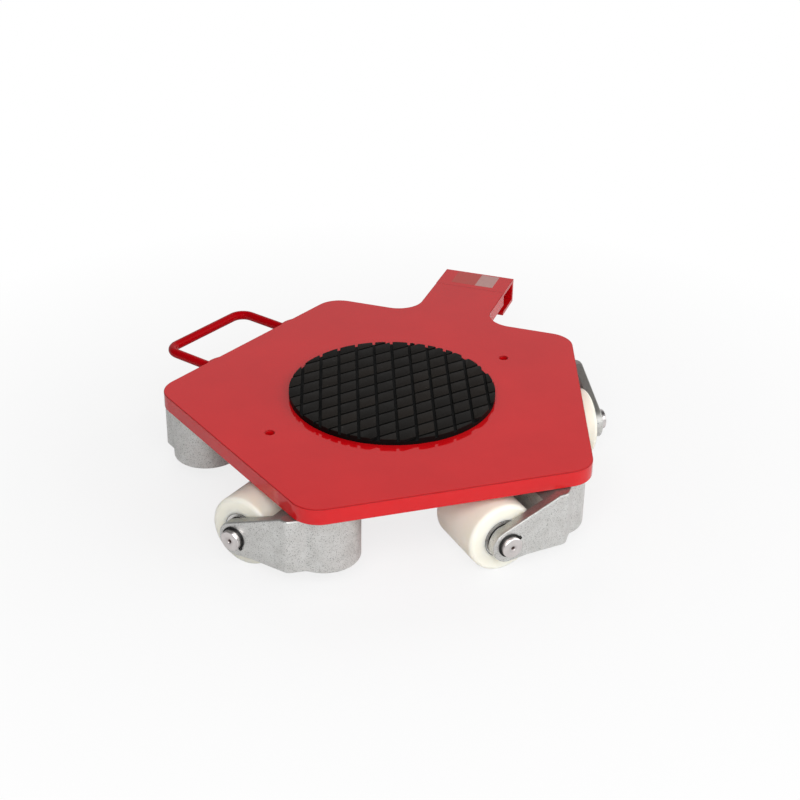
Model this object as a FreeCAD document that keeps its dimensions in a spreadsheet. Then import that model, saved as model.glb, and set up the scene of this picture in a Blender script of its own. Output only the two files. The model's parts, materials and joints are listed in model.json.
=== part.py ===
import FreeCAD, Part
import math
import os
import re

import Sketcher

# Machine skate: a five-cornered steel deck on five swivel castors, with a rubber
# load pad, a carrying handle and a tongue that ends in a side-open coupling channel.
# Millimetres and degrees. The origin is the middle of the load pad's top face,
# +Z is up and +Y points along the tongue.

SIZES = {
    # deck plate and tongue
    "deck_radius": 291,
    "deck_corner": 35,
    "deck_thickness": 20,
    "edge_round": 1,
    "tongue_width": 100,
    "tongue_reach": 389,
    "neck_radius": 35,
    "channel_depth": 52,
    "channel_height": 35,
    "channel_wall": 5,
    "tapped_diameter": 10.2,
    "tapped_margin": 48.5,
    "tapped_chamfer": 1.2,
    # load pad and its rhombic tread
    "pad_diameter": 255,
    "pad_thickness": 8,
    "tread_pitch": 22.8,
    "tread_width": 3.6,
    "tread_depth": 3.5,
    "tread_angle": 51,
    "tread_crossing_angle": 60,
    "tread_shift": 3.2,
    "tread_cross_shift": 2.9,
    # handle and welds
    "handle_bar": 12,
    "handle_span": 145,
    "handle_reach": 80,
    "handle_bend": 18,
    "weld_leg": 4,
    # castor layout and the arm directions at rest
    "castor_inset": 59,
    "castor_trail": 85,
    "arm_angle_front_right": 303.5,
    "arm_angle_front_left": 318,
    "arm_angle_left": 97,
    "arm_angle_rear": 166,
    "arm_angle_right": 225.4,
    # rollers
    "roller_diameter": 85,
    "roller_length": 85,
    "roller_edge": 5,
    "roller_deck_gap": 7,
    "roller_bore": 40,
    # cast forks
    "side_gap": 3.5,
    "cheek_thickness": 12,
    "cheek_end": 21,
    "cheek_end_drop": 1.5,
    "boss_radius": 42,
    "boss_drop": 20,
    "boss_front": 60,
    "shoulder_start": 10,
    "shoulder_flat": 9.5,
    "shoulder_round": 10,
    "valley_back": 5,
    "valley_round": 10,
    "cast_round": 2,
    "roller_clearance": 8,
    "web_front": 37,
    "swivel_gap": 1,
    # swivel bearings
    "pin_diameter": 30,
    "pin_seat_depth": 12,
    "thrust_diameter": 47,
    "thrust_height": 11,
    "race_height": 3.5,
    "cage_gap": 0.9,
    "bush_wall": 3,
    "nut_recess_diameter": 54,
    "nut_recess_depth": 16,
    "washer_diameter": 48,
    "washer_thickness": 4,
    "stud_diameter": 24,
    "nut_height": 11,
    "nut_flats": 36,
    # axles and roller bearings
    "axle_diameter": 25,
    "axle_overhang": 7.5,
    "axle_chamfer": 1,
    "axle_centre": 6,
    "bearing_diameter": 47,
    "bearing_width": 12,
    "bearing_ring": 4,
    "shield_thickness": 1,
    "shield_recess": 0.6,
    "spacer_wall": 3,
    "circlip_thickness": 1.5,
    "circlip_width": 2.8,
    "circlip_opening_angle": 60,
    "circlip_lug": 2.2,
    "circlip_lug_hole": 1.2,
    "circlip_groove_depth": 0.6,
    # fits
    "seat_gap": 0.02,
    "bush_clearance": 0.05,
    "running_gap": 0.3,
}

# Sizes that follow from the driving ones. Heights on a castor count from its axle.
DERIVED = {
    "deck_apothem": "deck_radius * cos(36)",
    "swivel_circle_radius": "deck_radius - castor_inset",
    "tapped_circle_radius": "pad_diameter / 2 + tapped_margin",
    "plate_end": "tongue_reach - channel_depth",
    "deck_top": "-pad_thickness",
    "deck_under": "-pad_thickness - deck_thickness",
    "deck_rise": "roller_deck_gap + roller_diameter / 2",
    "axle_level": "deck_under - deck_rise",
    "cheek_inner": "roller_length / 2 + side_gap",
    "cheek_outer": "cheek_inner + cheek_thickness",
    "fork_top": "deck_rise - swivel_gap",
    "cut_reach": "4 * (castor_trail + boss_radius)",
    "blank_front": "castor_trail + 2 * cheek_end",
    "blank_low": "2 * cheek_end + cheek_end_drop",
    "slope_start": "shoulder_start + shoulder_flat",
    "slope_run": "castor_trail - slope_start",
    "slope_drop": "fork_top + cheek_end_drop",
    "slope_reach": "sqrt(slope_run * slope_run + slope_drop * slope_drop)",
    "cheek_slope": "atan(slope_drop / slope_run) - asin(cheek_end / slope_reach)",
    "low_run": "castor_trail - boss_front",
    "low_drop": "boss_drop - cheek_end_drop",
    "low_reach": "sqrt(low_run * low_run + low_drop * low_drop)",
    "low_slope": "asin(cheek_end / low_reach) - atan(low_drop / low_run)",
    "slot_radius": "roller_diameter / 2 + roller_clearance",
    "slot_lip": "sqrt(slot_radius * slot_radius - (castor_trail - web_front) * (castor_trail - web_front))",
    "valley_half": "sqrt(boss_radius * boss_radius - valley_back * valley_back)",
    "race_floor": "deck_rise - thrust_height",
    "recess_top": "nut_recess_depth - boss_drop",
    "pin_radius": "pin_diameter / 2",
    "bush_radius": "pin_radius + bush_clearance + bush_wall",
    "thrust_radius": "thrust_diameter / 2",
    "shoulder_level": "recess_top - running_gap",
    "stud_radius": "stud_diameter / 2",
    "stud_end": "shoulder_level - washer_thickness - nut_height",
    "axle_radius": "axle_diameter / 2",
    "axle_half": "cheek_outer + axle_overhang",
    "groove_radius": "axle_radius - circlip_groove_depth",
    "clip_inside": "cheek_outer + seat_gap",
    "clip_outside": "clip_inside + circlip_thickness",
    "bearing_radius": "bearing_diameter / 2",
    "bearing_inside": "roller_length / 2 - bearing_width",
    "race_ring_inside": "bearing_radius - bearing_ring",
    "inner_ring_radius": "axle_radius + bearing_ring",
    "spacer_radius": "axle_radius + spacer_wall",
}

# Corner directions of the deck, one castor under each
CORNERS = {"front_right": 54, "front_left": 126, "left": 198, "rear": 270, "right": 342}
# Turn of each castor's circlips about the axle, from the arm towards the floor
CLIP_TURNS = {"front_right": 180, "front_left": 60, "left": 150, "rear": 105, "right": 180}
HANDLE_DIRECTION = 162
TAPPED_DIRECTION = 54
TAPPED_HOLES = 2
NUT_SIDES = 6
NEAR = 0.01

doc = FreeCAD.newDocument("machine_skate")
sheet = doc.addObject("Spreadsheet::Sheet", "Sizes")
for row, (size_name, size) in enumerate(SIZES.items(), start=1):
    sheet.set(f"A{row}", str(size))
    sheet.setAlias(f"A{row}", size_name)
doc.recompute()

nodes = []


def formula(text):
    """The formula with every size name pointing at its cell of the sheet."""

    def cell(match):
        word = match.group()
        if word in SIZES:
            return f"Sizes.{word}"
        if word in DERIVED:
            return f"({formula(DERIVED[word])})"
        return word

    return re.sub(r"[a-z]\w+", cell, str(text))


def number(text):
    return float(sheet.evalExpression(formula(text)))


def point(corner):
    return FreeCAD.Vector(number(corner[0]), number(corner[1]), 0)


def bind(item, prop, text):
    item.setExpression(prop, formula(text))


def new_body(label):
    body = doc.addObject("PartDesign::Body", label)
    body.Label = label
    return body


def origin_item(body, role):
    return next(item for item in body.Origin.OriginFeatures if item.Role == role)


def new_sketch(body, name, role):
    sketch = body.newObject("Sketcher::SketchObject", f"{body.Name}_{name}")
    sketch.AttachmentSupport = [(origin_item(body, role), "")]
    sketch.MapMode = "FlatFace"
    return sketch


def hold(sketch, rules):
    """Adds dimensions, each a kind, its references and the formula that drives it."""
    for kind, references, text in rules:
        index = sketch.addConstraint(Sketcher.Constraint(kind, *references, number(text)))
        sketch.setExpression(f"Constraints[{index}]", formula(text))


def pin_point(index, place, x, y):
    return [
        ("DistanceX", (-1, 1, index, place), x),
        ("DistanceY", (-1, 1, index, place), y),
    ]


def draw_outline(sketch, corners):
    """A closed wire. A corner is x and y, and centre x, y, radius and turn if an arc leaves it."""
    edges = []
    starts = []
    for corner, following in zip(corners, corners[1:] + corners[:1]):
        start, end = point(corner), point(following)
        if len(corner) == 2:
            edges.append(Part.LineSegment(start, end))
            starts.append((1, 2))
            continue
        centre = point(corner[2:4])
        circle = Part.Circle(centre, FreeCAD.Vector(0, 0, 1), number(corner[4]))
        angles = [math.atan2(end_point.y - centre.y, end_point.x - centre.x) for end_point in (start, end)]
        if corner[5] == "left":
            edges.append(Part.ArcOfCircle(circle, angles[0], angles[1]))
            starts.append((1, 2))
        else:
            edges.append(Part.ArcOfCircle(circle, angles[1], angles[0]))
            starts.append((2, 1))
    first = sketch.GeometryCount
    sketch.addGeometry(edges, False)
    joins = []
    rules = []
    for step, corner in enumerate(corners):
        following = (step + 1) % len(corners)
        joins.append(
            Sketcher.Constraint(
                "Coincident", first + step, starts[step][1], first + following, starts[following][0]
            )
        )
        rules += pin_point(first + step, starts[step][0], corner[0], corner[1])
        if len(corner) > 2:
            rules.append(("Radius", (first + step,), corner[4]))
    sketch.addConstraint(joins)
    hold(sketch, rules)


def draw_circle(sketch, x, y, radius):
    circle = Part.Circle(point((x, y)), FreeCAD.Vector(0, 0, 1), number(radius))
    index = sketch.addGeometry(circle, False)
    hold(sketch, pin_point(index, 3, x, y) + [("Radius", (index,), radius)])


def pad(body, sketch, length, symmetric=False, down=None):
    feature = body.newObject("PartDesign::Pad", f"{sketch.Name}_pad")
    feature.Profile = sketch
    bind(feature, "Length", length)
    if symmetric:
        feature.SideType = "Symmetric"
    if down is not None:
        feature.SideType = "Two sides"
        bind(feature, "Length2", down)
    return feature


def pocket(body, sketch, length=None, symmetric=False, reverse=False):
    feature = body.newObject("PartDesign::Pocket", f"{sketch.Name}_cut")
    feature.Profile = sketch
    if length is None:
        feature.Type = "ThroughAll"
    else:
        bind(feature, "Length", length)
    if symmetric:
        feature.SideType = "Symmetric"
    feature.Reversed = reverse
    return feature


def edges_where(feature, test):
    return [f"Edge{index}" for index, edge in enumerate(feature.Shape.Edges, start=1) if test(edge)]


def round_edges(body, name, base, radius, test):
    doc.recompute()
    feature = body.newObject("PartDesign::Fillet", f"{body.Name}_{name}")
    feature.Base = (base, edges_where(base, test))
    bind(feature, "Radius", radius)
    return feature


def chamfer_edges(body, name, base, size, test):
    doc.recompute()
    feature = body.newObject("PartDesign::Chamfer", f"{body.Name}_{name}")
    feature.Base = (base, edges_where(base, test))
    bind(feature, "Size", size)
    return feature


def around(body, name, feature, sketch, count):
    pattern = body.newObject("PartDesign::PolarPattern", f"{body.Name}_{name}")
    pattern.Originals = [feature]
    pattern.Axis = (sketch, ["N_Axis"])
    pattern.Angle = 360
    pattern.Occurrences = count
    body.Tip = pattern
    return pattern


def turned(label, profile):
    """A body turned about its Z axis from a half profile of radius and height corners."""
    body = new_body(label)
    sketch = new_sketch(body, "profile", "XZ_Plane")
    draw_outline(sketch, profile)
    turn = body.newObject("PartDesign::Revolution", f"{label}_turn")
    turn.Profile = sketch
    turn.ReferenceAxis = (sketch, ["V_Axis"])
    turn.Angle = 360
    return body


def ring(label, inner, outer, low, high):
    return turned(label, [(inner, low), (outer, low), (outer, high), (inner, high)])


def place(item, x, y, z, rotation=FreeCAD.Rotation()):
    item.Placement = FreeCAD.Placement(FreeCAD.Vector(number(x), number(y), number(z)), rotation)
    for axis, text in zip("xyz", (x, y, z)):
        bind(item, f"Placement.Base.{axis}", text)


def group(label, pieces):
    compound = doc.addObject("Part::Compound", label)
    compound.Label = label
    compound.Links = pieces
    nodes.append(compound)


def is_upright(edge):
    first, last = edge.firstVertex().Point, edge.lastVertex().Point
    return len(edge.Vertexes) == 2 and math.hypot(first.x - last.x, first.y - last.y) < NEAR


def upright_at(places):
    """Picks the upright edges that stand at these plan positions."""

    def test(edge):
        foot = edge.firstVertex().Point
        return is_upright(edge) and any(math.hypot(foot.x - x, foot.y - y) < NEAR for x, y in places)

    return test


def lies_at(edge, axis, level):
    return all(abs(getattr(vertex.Point, axis) - level) < NEAR for vertex in edge.Vertexes)


def on_direction(distance, direction):
    """Formulas of a point at this distance from the origin, in this direction."""
    return (f"{distance} * cos({direction})", f"{distance} * sin({direction})")


# Deck plate: pentagon and tongue in one, with blind seats for the swivel pins
def make_deck_plate():
    body = new_body("deck_plate")
    outline = new_sketch(body, "outline", "XY_Plane")
    corners = [on_direction("deck_radius", direction) for direction in CORNERS.values()]
    half = "tongue_width / 2"
    left = "-tongue_width / 2"
    neck = [(left, "deck_apothem"), (half, "deck_apothem")]
    end = [(left, "plate_end"), (half, "plate_end")]
    draw_outline(outline, [corners[0], neck[1], end[1], end[0], neck[0]] + corners[1:])
    plate = pad(body, outline, "deck_thickness")
    corner_places = [(point(corner).x, point(corner).y) for corner in corners]
    neck_places = [(point(corner).x, point(corner).y) for corner in neck]
    base = round_edges(body, "corners", plate, "deck_corner", upright_at(corner_places))
    base = round_edges(body, "necks", base, "neck_radius", upright_at(neck_places))
    levels = (0, number("deck_thickness"))
    end_level = number("plate_end")

    def is_rim(edge):
        on_face = any(lies_at(edge, "z", level) for level in levels)
        return on_face and not lies_at(edge, "y", end_level)

    round_edges(body, "rim", base, "edge_round", is_rim)
    seat = new_sketch(body, "pin_seat", "XY_Plane")
    seat_x, seat_y = on_direction("swivel_circle_radius", CORNERS["front_right"])
    draw_circle(seat, seat_x, seat_y, "pin_radius + seat_gap")
    seat_cut = pocket(body, seat, "pin_seat_depth", reverse=True)
    around(body, "pin_seats", seat_cut, seat, len(CORNERS))
    tapped = new_sketch(body, "tapped_hole", "XY_Plane")
    tapped_x, tapped_y = on_direction("tapped_circle_radius", TAPPED_DIRECTION)
    draw_circle(tapped, tapped_x, tapped_y, "tapped_diameter / 2")
    tapped_cut = pocket(body, tapped, reverse=True)
    base = around(body, "tapped_holes", tapped_cut, tapped, TAPPED_HOLES)
    tapped_radius = number("tapped_diameter / 2")

    def is_tapped_mouth(edge):
        is_circle = isinstance(edge.Curve, Part.Circle) and edge.isClosed()
        return is_circle and abs(edge.Curve.Radius - tapped_radius) < NEAR

    body.Tip = chamfer_edges(body, "tapped_mouths", base, "tapped_chamfer", is_tapped_mouth)
    place(body, "0", "0", "deck_under")
    nodes.append(body)


# Coupling: a channel open at both sides, butted flush on the end of the tongue
def make_coupling():
    channel = new_body("coupling_channel")
    profile = new_sketch(channel, "profile", "YZ_Plane")
    inside = "tongue_reach - channel_wall"
    draw_outline(
        profile,
        [
            ("plate_end", "0"),
            ("tongue_reach", "0"),
            ("tongue_reach", "-channel_height"),
            ("plate_end", "-channel_height"),
            ("plate_end", "channel_wall - channel_height"),
            (inside, "channel_wall - channel_height"),
            (inside, "-channel_wall"),
            ("plate_end", "-channel_wall"),
        ],
    )
    base = pad(channel, profile, "tongue_width", symmetric=True)
    reach = number("tongue_reach")
    outer_levels = (0, -number("channel_height"))

    def is_bend(edge):
        return lies_at(edge, "y", reach) and any(lies_at(edge, "z", level) for level in outer_levels)

    round_edges(channel, "bends", base, "edge_round", is_bend)
    place(channel, "0", "0", "deck_top")
    nodes.append(channel)

    weld = new_body("coupling_weld")
    bead = new_sketch(weld, "bead", "YZ_Plane")
    draw_outline(
        bead,
        [
            ("plate_end", "-channel_wall"),
            ("plate_end + weld_leg", "-channel_wall"),
            ("plate_end", "-channel_wall - weld_leg"),
        ],
    )
    pad(weld, bead, "tongue_width - 2 * weld_leg", symmetric=True)
    place(weld, "0", "0", "deck_top")
    nodes.append(weld)


# Load pad: a rubber disc with two crossing sets of grooves
def make_load_pad():
    body = new_body("load_pad")
    disc = new_sketch(body, "disc", "XY_Plane")
    draw_circle(disc, "0", "0", "pad_diameter / 2")
    pad(body, disc, "pad_thickness")
    reach = "pad_diameter / 2 + tread_pitch"
    count = 2 * math.ceil(number("pad_diameter / 2 / tread_pitch")) + 1
    sets = {
        "tread": ("tread_angle", "tread_shift"),
        "cross_tread": ("tread_angle + tread_crossing_angle", "tread_cross_shift"),
    }
    for name, (turn, shift) in sets.items():
        slot = new_sketch(body, name, "XY_Plane")
        slot.AttachmentOffset = FreeCAD.Placement(
            FreeCAD.Vector(0, 0, number("pad_thickness")),
            FreeCAD.Rotation(FreeCAD.Vector(0, 0, 1), number(turn)),
        )
        bind(slot, "AttachmentOffset.Base.z", "pad_thickness")
        bind(slot, "AttachmentOffset.Rotation.Angle", turn)
        first = f"-({shift}) - tread_pitch * {count // 2}"
        low = f"{first} - tread_width / 2"
        high = f"{first} + tread_width / 2"
        draw_outline(slot, [(f"-({reach})", low), (reach, low), (reach, high), (f"-({reach})", high)])
        groove = pocket(body, slot, "tread_depth")
        pattern = body.newObject("PartDesign::LinearPattern", f"{name}_grooves")
        pattern.Originals = [groove]
        pattern.Direction = (slot, ["V_Axis"])
        bind(pattern, "Length", f"tread_pitch * {count - 1}")
        pattern.Occurrences = count
        body.Tip = pattern
    place(body, "0", "0", "deck_top")
    nodes.append(body)


# Handle: a round bar bent to a U and welded to the edge of the deck
def make_handle():
    turn = FreeCAD.Rotation(FreeCAD.Vector(0, 0, 1), HANDLE_DIRECTION - 90)
    foot_x, foot_y = on_direction("deck_apothem", HANDLE_DIRECTION)
    middle = "deck_top - deck_thickness / 2"
    handle = new_body("handle")
    path = new_sketch(handle, "path", "XY_Plane")
    side = "handle_span / 2"
    inset = "handle_span / 2 - handle_bend"
    bend_start = "handle_reach - handle_bend"
    corners = [(f"-({side})", "0"), (f"-({side})", bend_start), (f"-({inset})", "handle_reach")]
    corners += [(inset, "handle_reach"), (side, bend_start), (side, "0")]
    bend = [(f"-({inset})", bend_start), (inset, bend_start)]
    draw_bar_path(path, corners, bend)
    section = new_sketch(handle, "section", "XZ_Plane")
    draw_circle(section, f"-({side})", "0", "handle_bar / 2")
    bar = handle.newObject("PartDesign::AdditivePipe", "handle_bar_sweep")
    bar.Profile = section
    bar.Spine = path
    place(handle, foot_x, foot_y, middle, turn)
    nodes.append(handle)

    outward = turn.multVec(FreeCAD.Vector(0, 1, 0))
    beads = []
    for sign in (-1, 1):
        inner = "handle_bar / 2 + seat_gap"
        bead = turned(
            f"handle_bead_{len(beads) + 1}",
            [(inner, "0"), (f"{inner} + weld_leg", "0"), (inner, "weld_leg")],
        )
        along_x = f"{foot_x} + {sign} * handle_span / 2 * cos({HANDLE_DIRECTION - 90})"
        along_y = f"{foot_y} + {sign} * handle_span / 2 * sin({HANDLE_DIRECTION - 90})"
        place(bead, along_x, along_y, middle, FreeCAD.Rotation(FreeCAD.Vector(0, 0, 1), outward))
        beads.append(bead)
    group("handle_welds", beads)


def draw_bar_path(sketch, corners, bends):
    """The open run of a U: leg, bend, grip, bend and leg."""
    centres = [point(bend) for bend in bends]
    radius = number("handle_bend")
    runs = [
        Part.LineSegment(point(corners[0]), point(corners[1])),
        Part.ArcOfCircle(Part.Circle(centres[0], FreeCAD.Vector(0, 0, 1), radius), math.pi / 2, math.pi),
        Part.LineSegment(point(corners[2]), point(corners[3])),
        Part.ArcOfCircle(Part.Circle(centres[1], FreeCAD.Vector(0, 0, 1), radius), 0, math.pi / 2),
        Part.LineSegment(point(corners[4]), point(corners[5])),
    ]
    sketch.addGeometry(runs, False)
    ends = [((0, 2), (1, 2)), ((1, 1), (2, 1)), ((2, 2), (3, 2)), ((3, 1), (4, 1))]
    sketch.addConstraint([Sketcher.Constraint("Coincident", *first, *second) for first, second in ends])
    places = [(0, 1), (0, 2), (2, 1), (2, 2), (4, 1), (4, 2)]
    rules = []
    for (index, place_on_run), corner in zip(places, corners):
        rules += pin_point(index, place_on_run, *corner)
    rules += [("Radius", (1,), "handle_bend"), ("Radius", (3,), "handle_bend")]
    hold(sketch, rules)


# Cast fork: boss, shoulders and two cheeks round the roller. X runs from the swivel
# axis to the axle, and the XY plane is at axle height.
def make_fork(label):
    body = new_body(label)
    plan = new_sketch(body, "plan", "XY_Plane")
    shoulders = [("shoulder_start", "cheek_outer"), ("shoulder_start", "-cheek_outer")]
    valleys = [("-valley_back", "valley_half"), ("-valley_back", "-valley_half")]
    draw_outline(
        plan,
        [
            ("blank_front", "-cheek_outer"),
            ("blank_front", "cheek_outer"),
            shoulders[0],
            (*valleys[0], "0", "0", "boss_radius", "left"),
            valleys[1],
            shoulders[1],
        ],
    )
    blank = pad(body, plan, "fork_top", down="blank_low")
    shoulder_places = [(point(corner).x, point(corner).y) for corner in shoulders]
    valley_places = [(point(corner).x, point(corner).y) for corner in valleys]
    base = round_edges(body, "shoulders", blank, "shoulder_round", upright_at(shoulder_places))
    round_edges(body, "valleys", base, "valley_round", upright_at(valley_places))

    side = new_sketch(body, "side", "XZ_Plane")
    draw_outline(
        side,
        [
            ("-cut_reach", "-cut_reach"),
            ("cut_reach", "-cut_reach"),
            ("cut_reach", "cut_reach"),
            ("-cut_reach", "cut_reach"),
        ],
    )
    end_arc = ("castor_trail", "-cheek_end_drop", "cheek_end", "left")
    draw_outline(
        side,
        [
            ("-cut_reach / 2", "-boss_drop"),
            ("boss_front", "-boss_drop"),
            (
                "castor_trail - cheek_end * sin(low_slope)",
                "-cheek_end * cos(low_slope) - cheek_end_drop",
                *end_arc,
            ),
            (
                "castor_trail + cheek_end * sin(cheek_slope)",
                "cheek_end * cos(cheek_slope) - cheek_end_drop",
            ),
            ("slope_start", "fork_top"),
            ("-cut_reach / 2", "fork_top"),
        ],
    )
    base = pocket(body, side, symmetric=True)
    outer = number("cheek_outer")

    def is_cheek_rim(edge):
        on_outside = any(lies_at(edge, "y", level) for level in (outer, -outer))
        return on_outside and not is_upright(edge)

    round_edges(body, "cheek_rims", base, "cast_round", is_cheek_rim)

    slot = new_sketch(body, "roller_slot", "XZ_Plane")
    wall_arc = ("castor_trail", "0", "slot_radius", "right")
    draw_outline(
        slot,
        [
            ("web_front", "slot_lip"),
            ("web_front", "cut_reach"),
            ("cut_reach", "cut_reach"),
            ("cut_reach", "-cut_reach"),
            ("web_front", "-cut_reach"),
            ("web_front", "-slot_lip", *wall_arc),
        ],
    )
    pocket(body, slot, "2 * cheek_inner", symmetric=True)

    bore = new_sketch(body, "axle_bore", "XZ_Plane")
    draw_circle(bore, "castor_trail", "0", "axle_radius + seat_gap")
    pocket(body, bore, symmetric=True)

    seats = new_sketch(body, "swivel_seats", "XZ_Plane")
    recess = "nut_recess_diameter / 2"
    bush = "bush_radius + seat_gap"
    race = "thrust_radius + seat_gap"
    draw_outline(
        seats,
        [
            ("0", "-cut_reach"),
            (recess, "-cut_reach"),
            (recess, "recess_top"),
            (bush, "recess_top"),
            (bush, "race_floor"),
            (race, "race_floor"),
            (race, "cut_reach"),
            ("0", "cut_reach"),
        ],
    )
    bores = body.newObject("PartDesign::Groove", f"{label}_bores")
    bores.Profile = seats
    bores.ReferenceAxis = (seats, ["V_Axis"])
    bores.Angle = 360
    return body


def circlip(label, turn):
    """An open ring with two lugs, flat on the XY plane, its opening turned from +X."""
    body = new_body(label)
    inner = "groove_radius + seat_gap"
    outer = "groove_radius + circlip_width"
    ends = [f"{turn} + circlip_opening_angle / 2", f"{turn} - circlip_opening_angle / 2"]
    flat = new_sketch(body, "ring", "XY_Plane")
    draw_outline(
        flat,
        [
            (*on_direction(f"({outer})", ends[0]), "0", "0", outer, "left"),
            on_direction(f"({outer})", ends[1]),
            (*on_direction(f"({inner})", ends[1]), "0", "0", inner, "right"),
            on_direction(f"({inner})", ends[0]),
        ],
    )
    pad(body, flat, "circlip_thickness")
    lug_ring = "(groove_radius + seat_gap + circlip_lug)"
    lugs = new_sketch(body, "lugs", "XY_Plane")
    holes = new_sketch(body, "lug_holes", "XY_Plane")
    for end in ends:
        lug = on_direction(lug_ring, end)
        draw_circle(lugs, *lug, "circlip_lug")
        draw_circle(holes, *lug, "circlip_lug_hole")
    pad(body, lugs, "circlip_thickness")
    pocket(body, holes, reverse=True)
    return body


class Castor:
    """The pieces under one corner of the deck, set on its swivel axis."""

    def __init__(self, name, direction):
        self.name = name
        self.arm = f"arm_angle_{name}"
        self.x, self.y = on_direction("swivel_circle_radius", direction)
        self.arm_turn = FreeCAD.Rotation(FreeCAD.Vector(0, 0, 1), number(self.arm))

    def on_swivel(self, piece):
        place(piece, self.x, self.y, "axle_level", self.arm_turn)
        return piece

    def on_axle(self, piece, flip=False):
        """Stands the piece's Z axis along the axle, or against it."""
        x = f"{self.x} + castor_trail * cos({self.arm})"
        y = f"{self.y} + castor_trail * sin({self.arm})"
        lay = FreeCAD.Rotation(FreeCAD.Vector(1, 0, 0), 90 if flip else -90)
        place(piece, x, y, "axle_level", self.arm_turn.multiply(lay))
        return piece

    def pair(self, make):
        return [self.on_axle(make(1)), self.on_axle(make(2), flip=True)]

    def make_pin(self):
        radius = "pin_radius"
        pin = turned(
            f"swivel_pin_{self.name}",
            [
                ("0", "stud_end"),
                ("stud_radius", "stud_end"),
                ("stud_radius", "shoulder_level"),
                (radius, "shoulder_level"),
                (radius, "deck_rise + pin_seat_depth"),
                ("0", "deck_rise + pin_seat_depth"),
            ],
        )
        nodes.append(self.on_swivel(pin))

    def make_swivel_bearings(self):
        name = self.name
        race_top = "race_floor + race_height"
        washer = ring(
            f"thrust_seat_{name}", "pin_radius + running_gap", "thrust_radius", "race_floor", race_top
        )
        cage = ring(
            f"thrust_cage_{name}",
            "pin_radius + cage_gap",
            "thrust_radius - cage_gap",
            race_top,
            "deck_rise - race_height - running_gap",
        )
        group(f"thrust_bearing_{name}", [self.on_swivel(washer), self.on_swivel(cage)])
        bush = ring(
            f"swivel_bush_{name}", "pin_radius + bush_clearance", "bush_radius", "recess_top", "race_floor"
        )
        nodes.append(self.on_swivel(bush))

    def make_fork(self):
        nodes.append(self.on_swivel(make_fork(f"fork_{self.name}")))

    def make_axle(self):
        name = self.name
        half = [
            ("0", "axle_half - axle_centre / 2"),
            ("axle_centre / 2", "axle_half"),
            ("axle_radius - axle_chamfer", "axle_half"),
            ("axle_radius", "axle_half - axle_chamfer"),
            ("axle_radius", "clip_outside + seat_gap"),
            ("groove_radius", "clip_outside + seat_gap"),
            ("groove_radius", "cheek_outer"),
            ("axle_radius", "cheek_outer"),
        ]
        mirrored = [(radius, f"-({height})") for radius, height in half]
        nodes.append(self.on_axle(turned(f"axle_{name}", half + mirrored[::-1])))

        def clip(index):
            piece = circlip(f"circlip_{name}_{index}", CLIP_TURNS[name])
            for feature in piece.Group:
                if feature.isDerivedFrom("Sketcher::SketchObject"):
                    bind(feature, "AttachmentOffset.Base.z", "clip_inside")
            return piece

        group(f"axle_circlips_{name}", self.pair(clip))

    def make_roller(self):
        name = self.name
        seat = "bearing_radius + seat_gap"
        half = "roller_length / 2"
        roller = turned(
            f"roller_{name}",
            [
                ("roller_bore / 2", "-bearing_inside"),
                (seat, "-bearing_inside"),
                (seat, f"-{half}"),
                ("roller_diameter / 2", f"-{half}"),
                ("roller_diameter / 2", half),
                (seat, half),
                (seat, "bearing_inside"),
                ("roller_bore / 2", "bearing_inside"),
            ],
        )
        radius = number("roller_diameter / 2")

        def is_tread_rim(edge):
            return isinstance(edge.Curve, Part.Circle) and abs(edge.Curve.Radius - radius) < NEAR

        doc.recompute()
        roller.Tip = round_edges(roller, "tread_rims", roller.Tip, "roller_edge", is_tread_rim)
        nodes.append(self.on_axle(roller))

    def make_roller_bearings(self):
        name = self.name
        face = "roller_length / 2"

        def outer_ring(index):
            shield_top = f"{face} - shield_recess"
            shield_low = f"{shield_top} - shield_thickness"
            shield_edge = "inner_ring_radius + running_gap"
            return turned(
                f"bearing_outer_{name}_{index}",
                [
                    ("race_ring_inside", "bearing_inside"),
                    ("bearing_radius", "bearing_inside"),
                    ("bearing_radius", face),
                    ("race_ring_inside", face),
                    ("race_ring_inside", shield_top),
                    (shield_edge, shield_top),
                    (shield_edge, shield_low),
                    ("race_ring_inside", shield_low),
                ],
            )

        def inner_ring(index):
            bore = "axle_radius + seat_gap"
            return ring(f"bearing_inner_{name}_{index}", bore, "inner_ring_radius", "bearing_inside", face)

        def end_spacer(index):
            bore = "axle_radius + seat_gap"
            return ring(f"end_spacer_{name}_{index}", bore, "spacer_radius", face, "cheek_inner")

        group(f"bearing_outers_{name}", self.pair(outer_ring))
        group(f"bearing_inners_{name}", self.pair(inner_ring))
        tube = ring(
            f"spacer_tube_{name}",
            "axle_radius + seat_gap",
            "spacer_radius",
            "-bearing_inside",
            "bearing_inside",
        )
        group(f"axle_spacers_{name}", self.pair(end_spacer) + [self.on_axle(tube)])

    def make_top_race(self):
        race = ring(
            f"thrust_top_{self.name}",
            "pin_radius + seat_gap",
            "thrust_radius - running_gap",
            "deck_rise - race_height",
            "deck_rise",
        )
        return self.on_swivel(race)

    def make_washer(self):
        washer = ring(
            f"pin_washer_{self.name}",
            "stud_radius + seat_gap",
            "washer_diameter / 2",
            "shoulder_level - washer_thickness",
            "shoulder_level",
        )
        return self.on_swivel(washer)

    def make_nut(self):
        body = new_body(f"pin_nut_{self.name}")
        face = new_sketch(body, "hexagon", "XY_Plane")
        bind(face, "AttachmentOffset.Base.z", "stud_end")
        step = 360 / NUT_SIDES
        across = f"nut_flats / 2 / cos({step / 2})"
        draw_outline(face, [on_direction(across, step * corner) for corner in range(NUT_SIDES)])
        draw_circle(face, "0", "0", "stud_radius + seat_gap")
        pad(body, face, "nut_height")
        return self.on_swivel(body)

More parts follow.
